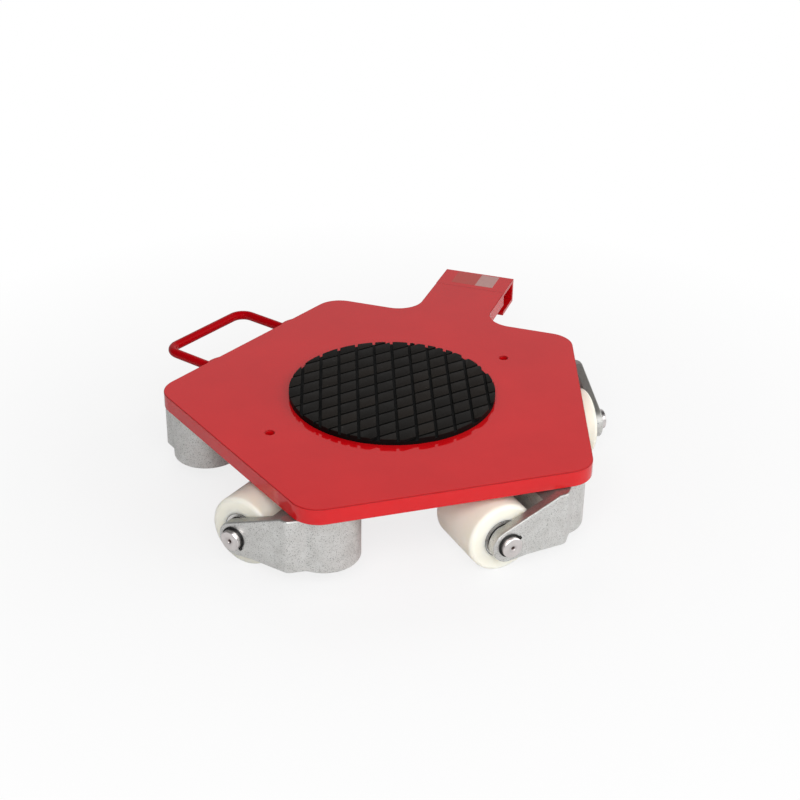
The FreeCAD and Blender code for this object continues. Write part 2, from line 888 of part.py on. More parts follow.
    def make_pieces(self):
        self.make_pin()
        self.make_swivel_bearings()
        self.make_fork()
        self.make_axle()
        self.make_roller()
        self.make_roller_bearings()


make_deck_plate()
make_coupling()
make_load_pad()
make_handle()
castors = [Castor(name, direction) for name, direction in CORNERS.items()]
for castor in castors:
    castor.make_pieces()
group("thrust_top_races", [castor.make_top_race() for castor in castors])
group("pin_washers", [castor.make_washer() for castor in castors])
group("pin_nuts", [castor.make_nut() for castor in castors])
doc.recompute()

for item in doc.Objects:
    if "Invalid" in item.State or "Error" in item.State:
        raise RuntimeError(f"{item.Label} did not build: {item.State}")
for node in nodes:
    if node.Shape.isNull() or not node.Shape.isValid() or not node.Shape.Solids:
        raise RuntimeError(f"{node.Label} has no valid solid")

os.makedirs("parts", exist_ok=True)
for node in nodes:
    node.Shape.exportStep(f"parts/{node.Label}.step")
    print(f"{node.Label}: {len(node.Shape.Solids)} solid, {node.Shape.Volume / 1000:.1f} cm3")
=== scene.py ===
import json
import math
import random

import bmesh
import bpy
from mathutils import Matrix, Vector


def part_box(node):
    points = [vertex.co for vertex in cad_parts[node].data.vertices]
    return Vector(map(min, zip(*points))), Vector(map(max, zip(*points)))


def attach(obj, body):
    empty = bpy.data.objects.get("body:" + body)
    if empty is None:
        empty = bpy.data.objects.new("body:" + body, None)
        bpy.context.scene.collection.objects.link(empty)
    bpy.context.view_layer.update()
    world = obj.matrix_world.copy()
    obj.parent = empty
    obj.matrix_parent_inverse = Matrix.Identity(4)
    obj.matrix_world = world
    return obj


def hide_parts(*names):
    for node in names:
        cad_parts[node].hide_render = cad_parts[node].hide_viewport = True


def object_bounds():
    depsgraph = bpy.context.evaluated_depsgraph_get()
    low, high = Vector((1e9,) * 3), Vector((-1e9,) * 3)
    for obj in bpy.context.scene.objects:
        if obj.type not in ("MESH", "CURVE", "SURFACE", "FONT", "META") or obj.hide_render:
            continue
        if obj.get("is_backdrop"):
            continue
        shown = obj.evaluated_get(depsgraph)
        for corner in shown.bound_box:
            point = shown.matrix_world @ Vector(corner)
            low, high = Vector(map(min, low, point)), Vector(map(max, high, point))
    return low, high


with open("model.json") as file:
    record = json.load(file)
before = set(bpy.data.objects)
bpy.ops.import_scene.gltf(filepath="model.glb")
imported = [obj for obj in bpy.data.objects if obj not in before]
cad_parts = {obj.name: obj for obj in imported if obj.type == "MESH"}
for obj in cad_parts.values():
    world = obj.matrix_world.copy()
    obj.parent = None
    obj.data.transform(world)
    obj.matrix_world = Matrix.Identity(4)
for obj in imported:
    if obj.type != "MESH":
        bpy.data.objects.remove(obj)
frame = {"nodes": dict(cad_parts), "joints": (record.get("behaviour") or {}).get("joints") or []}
cad_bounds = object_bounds()

# Machine skate: a gloss red deck on five swivel castors. Metres, +Z up, +Y along the tongue.
MM = 0.001
JOINTS = {joint["name"]: joint for joint in frame["joints"]}
CASTORS = [name.removeprefix("swivel_") for name in JOINTS if name.startswith("swivel_")]
FLOOR_LEVEL = cad_bounds[0].z
DECK_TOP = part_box("deck_plate")[1].z
UP = Vector((0, 0, 1))

# Camera, solved from the deck's corners in the photograph
CAMERA_AZIMUTH = math.radians(18.426)
CAMERA_ELEVATION = math.radians(28.568)
CAMERA_ROLL = math.radians(0.947)
CAMERA_DISTANCE = 1.9186
CAMERA_TARGET = Vector((0.0150, -0.0134, DECK_TOP + 0.0005))
CAMERA_LENS = 70.28
CAMERA_SENSOR = 36

# Load pad
PAD_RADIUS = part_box("load_pad")[1].x
PAD_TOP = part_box("load_pad")[1].z
TREAD_PITCH = 22.8 * MM
TREAD_WIDTH = 3.6 * MM
TREAD_DEPTH = 3.5 * MM
TREAD_SETS = ((math.radians(51), 3.2 * MM), (math.radians(111), 2.9 * MM))
TREAD_EDGE = 0.45 * MM
BLOCK_ROOT = 0.4 * MM
SMALLEST_BLOCK = 8 * MM * MM
GROOVE_SHADE = (PAD_TOP - 0.2 * MM, PAD_TOP - 1.2 * MM)
PAD_FOOT = 0.8 * MM
PAD_STEPS = 180

# Welds
DECK_RADIUS = 291 * MM
DECK_SIDES = 5
DECK_APOTHEM = DECK_RADIUS * math.cos(math.pi / DECK_SIDES)
HANDLE_DIRECTION = math.radians(162)
HANDLE_RADIUS = 6 * MM
HANDLE_SPAN = 145 * MM
HANDLE_LEVEL = sum(corner.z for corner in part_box("handle")) / 2
WELD_LEG = 4 * MM
WELD_SINK = 0.3 * MM
RIPPLE_LENGTH = 2.4 * MM
RIPPLE_STEPS = 6
RIPPLE_RISE = 0.16

# A bead's section, in shares: the crown of the leg, the shoulder along and up, and the middle of the crown
BEAD_CROWN = 0.62
BEAD_SHOULDER = 0.86
BEAD_SHOULDER_RISE = 0.28
BEAD_MIDDLE = 0.86

# Weld run-out on the deck's edge beside each foot: places along the edge with its width, in millimetres,
# its section in shares of that width and of its depth, and how far below the deck's top it starts
RUN_OUT = ((-7, 1.2), (-4, 3.2), (2, 3.8), (7, 3.0), (12, 1.2), (14, 0.3))
RUN_OUT_SECTION = ((-0.1, 0.0), (0.75, 0.0), (0.96, 0.06), (1.0, 0.2), (0.8, 0.7), (0.3, 1.0), (-0.1, 1.0))
RUN_OUT_DEPTH = 13 * MM
RUN_OUT_DROP = 0.5 * MM

# Faces that meet at a larger angle keep a sharp edge
SHARP_ANGLE = math.radians(32)

# Lower and higher tone of the paint on the deck and on the handle, its chips, and the painted shade along
# the deck's upper edges
DECK_REDS = ((0.55, 0.002, 0.005, 1), (0.61, 0.004, 0.007, 1))
HANDLE_REDS = ((0.36, 0.0004, 0.003, 1), (0.42, 0.0006, 0.004, 1))
PAINT_CHIP = (0.2, 0.12, 0.11, 1)
PAINT_EDGE_SHADE = (0.30, 0.0003, 0.002, 1)

# The other finishes: two tones each, what lies on them, and the shade painted on some of them
RUBBER_TONES = ((0.0054, 0.0047, 0.0040, 1), (0.0115, 0.0083, 0.0060, 1))
RUBBER_HAZE = (0.013, 0.011, 0.01, 1)
RUBBER_WORN = (0.02, 0.018, 0.017, 1)
RUBBER_DUST = (0.4, 0.38, 0.35, 1)
RUBBER_GROOVE_SHADE = (0.0012, 0.0011, 0.001, 1)
PLASTIC_TONES = ((0.90, 0.87, 0.76, 1), (0.94, 0.918, 0.82, 1))
PLASTIC_STAIN = (0.76, 0.68, 0.5, 1)
ZINC_TONES = ((0.63, 0.625, 0.605, 1), (0.74, 0.74, 0.725, 1))
ZINC_PALE_EDGE = (0.84, 0.84, 0.83, 1)
ZINC_DIRT = (0.13, 0.125, 0.115, 1)
# Painted shade for the forks' upward faces
ZINC_TOP_SHADE = (0.2, 0.195, 0.165, 1)
AXLE_TONES = ((0.70, 0.66, 0.65, 1), (0.86, 0.82, 0.81, 1))
AXLE_GRIME = (0.12, 0.085, 0.08, 1)
BEARING_TONES = ((0.78, 0.77, 0.75, 1), (0.90, 0.89, 0.87, 1))
BEARING_SEAL_AND_GAP_SHADE = (0.016, 0.015, 0.015, 1)
PLATED_TONES = ((0.50, 0.49, 0.46, 1), (0.63, 0.62, 0.60, 1))
PLATED_SPECK = (0.2, 0.18, 0.16, 1)
OXIDE_TONES = ((0.012, 0.012, 0.013, 1), (0.03, 0.029, 0.028, 1))
OXIDE_WORN = (0.2, 0.2, 0.2, 1)
BRONZE_TONES = ((0.42, 0.26, 0.10, 1), (0.58, 0.39, 0.17, 1))

# The grime in the centre hole of an axle's end, and the stain round it, fade out between these radii
AXLE_CENTRE = (1.8 * MM, 3.0 * MM)
AXLE_STAIN = (0.8 * MM, 6.5 * MM)

# A bearing's black seal, as its middle and half width, and where the painted shade in the gap at its rim
# begins and is full
SEAL = (18.0 * MM, 1.6 * MM)
BEARING_GAP_SHADE = (22.6 * MM, 23.2 * MM)

# Blank film on the end of the tongue: its middle, half size and the line where it turns pale
FILM_MIDDLE = Vector((-0.5 * MM, 366.5 * MM, DECK_TOP))
FILM_HALF = (30.5 * MM, 19.5 * MM)
FILM_PALE_FROM = 4 * MM
FILM_THICKNESS = 0.15 * MM

# What the film covers of the paint, and with which tone, all over and where it is pale
FILM_COVER = 0.26
FILM_TONE = (0.14, 0.135, 0.085, 1)
FILM_PALE_COVER = 0.45
FILM_PALE_TONE = (0.5, 0.5, 0.47, 1)

# Floor: its tones, and the share of plain white seen in it, near the object and in reflections
PAPER_TONES = ((0.73, 0.73, 0.73, 1), (0.76, 0.76, 0.76, 1))
FLOOR_WHITE = 0.8
FLOOR_MIRRORED = 0.06
FLOOR_RADIUS = 14
FLOOR_STEPS = 96
SHADOW_REACH = (0.32, 0.85)

# Sky: its strength from the dim side to the bright side, and how it fades overhead, by height
SKY_BRIGHT_SIDE = math.radians(92)
SKY_TURN = (-0.15, 0.6)
SKY_STRENGTH = (0.096, 0.544)
SKY_FADE_HEIGHT = (0.52, 0.85)
SKY_OVERHEAD = 0.12

# Softboxes: place, size and power
SOFTBOXES = {
    "right_softbox": ((2.43, 0.08, 1.18), (3.0, 2.0), 43),
    "front_softbox": ((0.62, -2.01, 1.53), (2.2, 2.0), 60),
}
BACK_SOFTBOX = ((-0.69, 1.30, 1.63), (1.2, 1.2), 11)

# Share of the softboxes' light that the red paint mirrors, and how much further back those lamps stand
PAINT_SHEEN = 0.09
SHEEN_SETBACK = 1.04

# Width over which a mask fades out
MASK_EDGE = 0.4 * MM

# Sockets of the Mix node that carry colours
MIX_FACTOR, MIX_FIRST, MIX_SECOND, MIX_RESULT = 0, 6, 7, 2


# Node helpers
def add_node(tree, kind, inputs=None, **settings):
    """A node with its settings. An input is a plain value, or a socket to link from."""
    node = tree.nodes.new(kind)
    for name, value in settings.items():
        setattr(node, name, value)
    for name, value in (inputs or {}).items():
        if isinstance(value, bpy.types.NodeSocket):
            tree.links.new(value, node.inputs[name])
        else:
            node.inputs[name].default_value = value
    return node


def calculate(tree, operation, first, second=0.0):
    return add_node(tree, "ShaderNodeMath", {0: first, 1: second}, operation=operation).outputs[0]


def remap(tree, value, low, high, new_low=0.0, new_high=1.0):
    """The value stretched from one range to another, and held to its ends."""
    inputs = {"Value": value, "From Min": low, "From Max": high, "To Min": new_low, "To Max": new_high}
    return add_node(tree, "ShaderNodeMapRange", inputs).outputs[0]


def inside(tree, value, middle, half):
    """A mask of the stretch on either side of a middle value, with a soft edge."""
    away = calculate(tree, "ABSOLUTE", calculate(tree, "SUBTRACT", value, middle))
    return remap(tree, away, half, half - MASK_EDGE)


def blend_colours(tree, factor, first, second):
    inputs = {MIX_FACTOR: factor, MIX_FIRST: first, MIX_SECOND: second}
    return add_node(tree, "ShaderNodeMix", inputs, data_type="RGBA").outputs[MIX_RESULT]


def noise(tree, vector, scale, detail=2.0, roughness=0.5):
    inputs = {"Vector": vector, "Scale": scale, "Detail": detail, "Roughness": roughness}
    return add_node(tree, "ShaderNodeTexNoise", inputs).outputs["Fac"]


def bump(tree, height, strength, distance, normal):
    inputs = {"Height": height, "Strength": strength, "Distance": distance, "Normal": normal}
    return add_node(tree, "ShaderNodeBump", inputs).outputs[0]


def own_coordinates(tree):
    return add_node(tree, "ShaderNodeTexCoord").outputs["Object"]


def soft_edges(tree, radius):
    """The surface normal, turned over the edges as on a small round."""
    return add_node(tree, "ShaderNodeBevel", {"Radius": radius}, samples=4).outputs[0]


def new_group(name, inputs, outputs):
    """A shader group, with the sockets that its inner nodes read and feed."""
    group = bpy.data.node_groups.new(name, "ShaderNodeTree")
    for label, value in inputs.items():
        kind = "NodeSocketVector" if value is None else "NodeSocketFloat"
        socket = group.interface.new_socket(label, in_out="INPUT", socket_type=kind)
        if value is not None:
            socket.default_value = value
    for label in outputs:
        group.interface.new_socket(label, in_out="OUTPUT", socket_type="NodeSocketFloat")
    return group, add_node(group, "NodeGroupInput").outputs, add_node(group, "NodeGroupOutput").inputs


def use_group(tree, group, inputs):
    return add_node(tree, "ShaderNodeGroup", inputs, node_tree=group).outputs


# Shared surface effects
def make_edge_wear():
    """A mask along the edges, broken up by noise."""
    group, entry, out = new_group("edge_wear", {"Vector": None, "Radius": 0.001, "Grain": 300.0}, ["Mask"])
    rounded = soft_edges(group, entry["Radius"])
    plain = add_node(group, "ShaderNodeNewGeometry").outputs["Normal"]
    turned = add_node(group, "ShaderNodeVectorMath", {0: rounded, 1: plain}, operation="DOT_PRODUCT")
    edge = remap(group, turned.outputs["Value"], 0.995, 0.88)
    broken = remap(group, noise(group, entry["Vector"], entry["Grain"], 3.0), 0.35, 0.65)
    group.links.new(calculate(group, "MULTIPLY", edge, broken), out["Mask"])
    return group


def make_upper_edges():
    """A mask along the edges where an upper face turns down into a side."""
    group, entry, out = new_group("upper_edges", {"Radius": 0.001}, ["Mask"])
    rounded = soft_edges(group, entry["Radius"])
    tilt = add_node(group, "ShaderNodeSeparateXYZ", {"Vector": rounded}).outputs["Z"]
    edge = calculate(group, "MULTIPLY", remap(group, tilt, 0.12, 0.4), remap(group, tilt, 0.99, 0.88))
    group.links.new(edge, out["Mask"])
    return group


def make_speckles():
    """Small scattered spots. A higher Level leaves fewer of them."""
    group, entry, out = new_group("speckles", {"Vector": None, "Grain": 400.0, "Level": 0.7}, ["Mask"])
    spots = noise(group, entry["Vector"], entry["Grain"], 1.0)
    above = calculate(group, "SUBTRACT", spots, entry["Level"])
    group.links.new(remap(group, above, 0.0, 0.04), out["Mask"])
    return group


def make_clouds():
    """Broad uneven patches between 0 and 1, as hand marks and thin dust leave them."""
    group, entry, out = new_group("clouds", {"Vector": None, "Grain": 12.0}, ["Value"])
    broad = noise(group, entry["Vector"], entry["Grain"], 4.0, 0.6)
    group.links.new(remap(group, broad, 0.3, 0.7), out["Value"])
    return group


def make_cast_skin():
    """Sand-cast skin: a rough height, a mask of pits and a mottled tone."""
    group, entry, out = new_group("cast_skin", {"Vector": None}, ["Height", "Pits", "Tone"])
    coarse = noise(group, entry["Vector"], 260.0, 4.0, 0.6)
    fine = noise(group, entry["Vector"], 1400.0, 2.0)
    cells = add_node(group, "ShaderNodeTexVoronoi", {"Vector": entry["Vector"], "Scale": 330.0})
    near = remap(group, cells.outputs["Distance"], 0.26, 0.1)
    chosen = add_node(group, "ShaderNodeSeparateColor", {"Color": cells.outputs["Color"]}).outputs[0]
    pits = calculate(group, "MULTIPLY", near, remap(group, chosen, 0.72, 0.8))
    skin = calculate(group, "ADD", calculate(group, "MULTIPLY", fine, 0.35), coarse)
    group.links.new(calculate(group, "SUBTRACT", skin, pits), out["Height"])
    group.links.new(pits, out["Pits"])
    group.links.new(remap(group, noise(group, entry["Vector"], 70.0, 5.0, 0.65), 0.32, 0.68), out["Tone"])
    return group


def make_turning_marks():
    """Fine tool lines round the Z axis, on end faces and on round faces alike."""
    group, entry, out = new_group("turning_marks", {"Vector": None, "Lines": 2500.0}, ["Height"])
    parts = add_node(group, "ShaderNodeSeparateXYZ", {"Vector": entry["Vector"]}).outputs
    flat = add_node(group, "ShaderNodeCombineXYZ", {"X": parts["X"], "Y": parts["Y"]}).outputs[0]
    reach = add_node(group, "ShaderNodeVectorMath", {0: flat}, operation="LENGTH").outputs["Value"]
    travel = calculate(group, "ADD", reach, parts["Z"])
    inputs = {"W": travel, "Scale": entry["Lines"]}
    line = add_node(group, "ShaderNodeTexNoise", inputs, noise_dimensions="1D")
    group.links.new(line.outputs["Fac"], out["Height"])
    return group


EDGE_WEAR = make_edge_wear()
UPPER_EDGES = make_upper_edges()
SPECKLES = make_speckles()
CLOUDS = make_clouds()
CAST_SKIN = make_cast_skin()
TURNING_MARKS = make_turning_marks()


# Materials
def new_material(name, **constants):
    """A material with one Principled shader, whose constant sockets are set here."""
    material = bpy.data.materials.new(name)
    material.use_nodes = True
    tree = material.node_tree
    tree.nodes.clear()
    inputs = {label.replace("_", " "): value for label, value in constants.items()}
    shader = add_node(tree, "ShaderNodeBsdfPrincipled", inputs)
    add_node(tree, "ShaderNodeOutputMaterial", {"Surface": shader.outputs[0]})
    return material, tree, shader


def feed(tree, shader, **sockets):
    for label, socket in sockets.items():
        tree.links.new(socket, shader.inputs[label.replace("_", " ")])


def axle_frame(castor):
    """Where a castor's axle is, as a turn with Z along the axle, and its middle."""
    joint = JOINTS[f"roll_{castor}"]
    axis = Vector(joint["axis"])
    turn = Matrix((axis.cross(UP), UP, axis)).transposed()
    return turn.to_euler(), Vector(joint["pos_m"])


def axle_coordinates(tree, castor):
    turn, middle = axle_frame(castor)
    inputs = {"Vector": own_coordinates(tree), "Location": middle, "Rotation": turn}
    return add_node(tree, "ShaderNodeMapping", inputs, vector_type="TEXTURE").outputs[0]


def axle_reach(tree, place):
    """Distance from the axle, in the coordinates of that axle."""
    flat = add_node(tree, "ShaderNodeVectorMath", {0: place, 1: (1, 1, 0)}, operation="MULTIPLY").outputs[0]
    return add_node(tree, "ShaderNodeVectorMath", {0: flat}, operation="LENGTH").outputs["Value"]


def paint_layers(tree, tones):
    """What the gloss red paint feeds its shader."""
    place = own_coordinates(tree)
    patches = use_group(tree, CLOUDS, {"Vector": place, "Grain": 9.0})["Value"]
    wear = use_group(tree, EDGE_WEAR, {"Vector": place, "Radius": 1.2 * MM, "Grain": 90.0})["Mask"]
    chips = use_group(tree, SPECKLES, {"Vector": place, "Grain": 260.0, "Level": 0.67})["Mask"]
    chipped = calculate(tree, "MULTIPLY", calculate(tree, "MULTIPLY", wear, chips), 0.7)
    colour = blend_colours(tree, patches, *tones)
    colour = blend_colours(tree, chipped, colour, PAINT_CHIP)
    gloss = remap(tree, patches, 0.0, 1.0, 0.05, 0.11)
    roughness = calculate(tree, "ADD", gloss, calculate(tree, "MULTIPLY", chipped, 0.5))
    peel = noise(tree, place, 330.0, 2.0)
    normal = bump(tree, peel, 0.012, 1 * MM, soft_edges(tree, 0.8 * MM))
    return {"Base_Color": colour, "Roughness": roughness, "Normal": normal}


def shade_upper_edges(tree, layers):
    """Painted shade: a deeper red along the deck's upper edges, standing for the dark reflection on their
    rounds, and duller paint there.
    """
    edge = use_group(tree, UPPER_EDGES, {"Radius": 1.3 * MM})["Mask"]
    # Painted shade along the upper edges
    cover = calculate(tree, "MULTIPLY", edge, 0.85)
    layers["Base_Color"] = blend_colours(tree, cover, layers["Base_Color"], PAINT_EDGE_SHADE)
    dullness = calculate(tree, "MULTIPLY", edge, 0.5)
    layers["Roughness"] = calculate(tree, "ADD", layers["Roughness"], dullness)


def deck_paint():
    material, tree, shader = new_material("gloss_red_paint", Specular_IOR_Level=0.5)
    layers = paint_layers(tree, DECK_REDS)
    shade_upper_edges(tree, layers)
    feed(tree, shader, **layers)
    return material


def handle_paint():
    material, tree, shader = new_material("deep_red_paint", Specular_IOR_Level=0.12)
    feed(tree, shader, **paint_layers(tree, HANDLE_REDS))
    return material


def red_paint_with_film():
    """The same paint under a blank film, clear on the left and pale on the right."""
    material, tree, shader = new_material("red_paint_with_film", Specular_IOR_Level=0.5)
    layers = paint_layers(tree, DECK_REDS)
    shade_upper_edges(tree, layers)
    parts = add_node(tree, "ShaderNodeSeparateXYZ", {"Vector": own_coordinates(tree)}).outputs
    film = inside(tree, parts["X"], FILM_MIDDLE.x, FILM_HALF[0])
    film = calculate(tree, "MULTIPLY", film, inside(tree, parts["Y"], FILM_MIDDLE.y, FILM_HALF[1]))
    film = calculate(tree, "MULTIPLY", film, inside(tree, parts["Z"], FILM_MIDDLE.z, MASK_EDGE * 2))
    pale = remap(tree, parts["X"], FILM_PALE_FROM - MASK_EDGE, FILM_PALE_FROM + MASK_EDGE)
    haze = remap(tree, noise(tree, own_coordinates(tree), 60.0, 3.0), 0.3, 0.7, 0.85, 1.1)
    cover = calculate(tree, "MULTIPLY", film, haze)
    thin = calculate(tree, "MULTIPLY", cover, FILM_COVER)
    colour = blend_colours(tree, thin, layers["Base_Color"], FILM_TONE)
    dense = calculate(tree, "MULTIPLY", calculate(tree, "MULTIPLY", cover, pale), FILM_PALE_COVER)
    layers["Base_Color"] = blend_colours(tree, dense, colour, FILM_PALE_TONE)
    dullness = calculate(tree, "MULTIPLY", film, 0.08)
    layers["Roughness"] = calculate(tree, "ADD", layers["Roughness"], dullness)
    layers["Normal"] = bump(tree, film, 0.6, FILM_THICKNESS, layers["Normal"])
    feed(tree, shader, **layers)
    return material


def pad_rubber():
    material, tree, shader = new_material("pad_rubber", Specular_IOR_Level=0.14)
    place = own_coordinates(tree)
    tone = add_node(tree, "ShaderNodeAttribute", attribute_name="block_tone").outputs["Fac"]
    patches = use_group(tree, CLOUDS, {"Vector": place, "Grain": 38.0})["Value"]
    specks = use_group(tree, SPECKLES, {"Vector": place, "Grain": 420.0, "Level": 0.79})["Mask"]
    wear = use_group(tree, EDGE_WEAR, {"Vector": place, "Radius": 0.9 * MM, "Grain": 160.0})["Mask"]
    colour = blend_colours(tree, tone, *RUBBER_TONES)
    colour = blend_colours(tree, calculate(tree, "MULTIPLY", patches, 0.35), colour, RUBBER_HAZE)
    colour = blend_colours(tree, calculate(tree, "MULTIPLY", wear, 0.35), colour, RUBBER_WORN)
    colour = blend_colours(tree, calculate(tree, "MULTIPLY", specks, 0.5), colour, RUBBER_DUST)
    height = add_node(tree, "ShaderNodeSeparateXYZ", {"Vector": place}).outputs["Z"]
    # Painted shade: darker down into the grooves, by height
    colour = blend_colours(tree, remap(tree, height, *GROOVE_SHADE), colour, RUBBER_GROOVE_SHADE)
    roughness = remap(tree, patches, 0.0, 1.0, 0.5, 0.66)
    grain = noise(tree, place, 1500.0, 2.0)
    normal = bump(tree, grain, 0.12, 0.4 * MM, soft_edges(tree, 0.4 * MM))
    feed(tree, shader, Base_Color=colour, Roughness=roughness, Normal=normal)
    return material


def roller_plastic(castor):
    material, tree, shader = new_material(
        f"roller_plastic_{castor}",
        Subsurface_Weight=0.8,
        Subsurface_Radius=(1.0, 0.95, 0.85),
        Subsurface_Scale=12 * MM,
        Specular_IOR_Level=0.4,
    )
    place = axle_coordinates(tree, castor)
    patches = use_group(tree, CLOUDS, {"Vector": place, "Grain": 30.0})["Value"]
    stains = use_group(tree, CLOUDS, {"Vector": place, "Grain": 16.0})["Value"]
    lines = use_group(tree, TURNING_MARKS, {"Vector": place, "Lines": 1800.0})["Height"]
    colour = blend_colours(tree, patches, *PLASTIC_TONES)
    colour = blend_colours(tree, calculate(tree, "MULTIPLY", stains, 0.16), colour, PLASTIC_STAIN)
    roughness = remap(tree, patches, 0.0, 1.0, 0.3, 0.42)
    normal = bump(tree, lines, 0.05, 0.3 * MM, soft_edges(tree, 0.8 * MM))
    feed(tree, shader, Base_Color=colour, Roughness=roughness, Normal=normal)
    return material


def cast_zinc():
    material, tree, shader = new_material("cast_zinc", Metallic=0.82)
    place = own_coordinates(tree)
    skin = use_group(tree, CAST_SKIN, {"Vector": place})
    specks = use_group(tree, SPECKLES, {"Vector": place, "Grain": 900.0, "Level": 0.61})["Mask"]
    grime = use_group(tree, SPECKLES, {"Vector": place, "Grain": 520.0, "Level": 0.53})["Mask"]
    rim = use_group(tree, EDGE_WEAR, {"Vector": place, "Radius": 2.2 * MM, "Grain": 110.0})["Mask"]
    wear = use_group(tree, EDGE_WEAR, {"Vector": place, "Radius": 1.0 * MM, "Grain": 60.0})["Mask"]
    colour = blend_colours(tree, skin["Tone"], *ZINC_TONES)
    dark = calculate(tree, "MULTIPLY", calculate(tree, "MAXIMUM", specks, skin["Pits"]), 0.62)
    dark_rim = calculate(tree, "MULTIPLY", calculate(tree, "MULTIPLY", grime, rim), 0.8)
    dark = calculate(tree, "MAXIMUM", dark, dark_rim)
    # Lighter along the edges
    colour = blend_colours(tree, calculate(tree, "MULTIPLY", wear, 0.6), colour, ZINC_PALE_EDGE)
    colour = blend_colours(tree, dark, colour, ZINC_DIRT)
    # Painted shade: faces that look upward are darkened, standing for the dark reflection from above them
    facing = add_node(tree, "ShaderNodeNewGeometry").outputs["Normal"]
    upward = add_node(tree, "ShaderNodeSeparateXYZ", {"Vector": facing}).outputs["Z"]
    top_shade = remap(tree, upward, 0.4, 0.85, 0.0, 0.55)
    colour = blend_colours(tree, top_shade, colour, ZINC_TOP_SHADE)
    roughness = remap(tree, skin["Tone"], 0.0, 1.0, 0.48, 0.36)
    normal = bump(tree, skin["Height"], 0.2, 0.5 * MM, soft_edges(tree, 1 * MM))
    feed(tree, shader, Base_Color=colour, Roughness=roughness, Normal=normal)
    return material


def turned_steel(castor):
    material, tree, shader = new_material(f"turned_steel_{castor}", Metallic=1.0)
    place = axle_coordinates(tree, castor)
    patches = use_group(tree, CLOUDS, {"Vector": place, "Grain": 60.0})["Value"]
    lines = use_group(tree, TURNING_MARKS, {"Vector": place, "Lines": 3200.0})["Height"]
    colour = blend_colours(tree, patches, *AXLE_TONES)
    reach = axle_reach(tree, place)
    stain = remap(tree, reach, *AXLE_STAIN, 0.34, 0.0)
    grime = calculate(tree, "MAXIMUM", stain, remap(tree, reach, *AXLE_CENTRE, 1.0, 0.0))
    colour = blend_colours(tree, grime, colour, AXLE_GRIME)
    roughness = remap(tree, patches, 0.0, 1.0, 0.36, 0.26)
    roughness = calculate(tree, "ADD", roughness, calculate(tree, "MULTIPLY", grime, 0.5))
    normal = bump(tree, lines, 0.12, 0.2 * MM, soft_edges(tree, 0.4 * MM))
    feed(tree, shader, Base_Color=colour, Roughness=roughness, Normal=normal)
    return material


def bearing_steel(castor):
    material, tree, shader = new_material(f"bearing_steel_{castor}")
    place = axle_coordinates(tree, castor)
    patches = use_group(tree, CLOUDS, {"Vector": place, "Grain": 90.0})["Value"]
    lines = use_group(tree, TURNING_MARKS, {"Vector": place, "Lines": 5200.0})["Height"]
    colour = blend_colours(tree, patches, *BEARING_TONES)
    reach = axle_reach(tree, place)
    # Black for the seal, and painted shade for the dark gap at the bearing's outer rim
    black = calculate(tree, "MAXIMUM", inside(tree, reach, *SEAL), remap(tree, reach, *BEARING_GAP_SHADE))
    colour = blend_colours(tree, black, colour, BEARING_SEAL_AND_GAP_SHADE)
    metal = remap(tree, black, 0.0, 1.0, 0.88, 0.0)
    roughness = remap(tree, patches, 0.0, 1.0, 0.34, 0.24)
    roughness = calculate(tree, "ADD", roughness, calculate(tree, "MULTIPLY", black, 0.2))
    normal = bump(tree, lines, 0.06, 0.1 * MM, soft_edges(tree, 0.3 * MM))
    feed(tree, shader, Base_Color=colour, Metallic=metal, Roughness=roughness, Normal=normal)
    return material


def plated_steel():
    material, tree, shader = new_material("plated_steel", Metallic=1.0)
    place = own_coordinates(tree)
    patches = use_group(tree, CLOUDS, {"Vector": place, "Grain": 70.0})["Value"]
    specks = use_group(tree, SPECKLES, {"Vector": place, "Grain": 600.0, "Level": 0.7})["Mask"]
    colour = blend_colours(tree, patches, *PLATED_TONES)
    colour = blend_colours(tree, calculate(tree, "MULTIPLY", specks, 0.4), colour, PLATED_SPECK)
    roughness = remap(tree, patches, 0.0, 1.0, 0.42, 0.28)
    normal = bump(tree, noise(tree, place, 900.0), 0.06, 0.3 * MM, soft_edges(tree, 0.5 * MM))
    feed(tree, shader, Base_Color=colour, Roughness=roughness, Normal=normal)
    return material


def black_oxide():
    material, tree, shader = new_material("black_oxide", Metallic=0.7)
    place = own_coordinates(tree)
    patches = use_group(tree, CLOUDS, {"Vector": place, "Grain": 120.0})["Value"]
    wear = use_group(tree, EDGE_WEAR, {"Vector": place, "Radius": 0.4 * MM, "Grain": 300.0})["Mask"]
    colour = blend_colours(tree, patches, *OXIDE_TONES)
    colour = blend_colours(tree, calculate(tree, "MULTIPLY", wear, 0.4), colour, OXIDE_WORN)
    roughness = remap(tree, patches, 0.0, 1.0, 0.35, 0.5)
    normal = bump(tree, noise(tree, place, 1500.0), 0.05, 0.2 * MM, soft_edges(tree, 0.3 * MM))
    feed(tree, shader, Base_Color=colour, Roughness=roughness, Normal=normal)
    return material


def bush_bronze():
    material, tree, shader = new_material("bush_bronze", Metallic=1.0)
    place = own_coordinates(tree)
    patches = use_group(tree, CLOUDS, {"Vector": place, "Grain": 80.0})["Value"]
    colour = blend_colours(tree, patches, *BRONZE_TONES)
    roughness = remap(tree, patches, 0.0, 1.0, 0.4, 0.26)
    normal = bump(tree, noise(tree, place, 800.0), 0.05, 0.2 * MM, soft_edges(tree, 0.4 * MM))
    feed(tree, shader, Base_Color=colour, Roughness=roughness, Normal=normal)
    return material


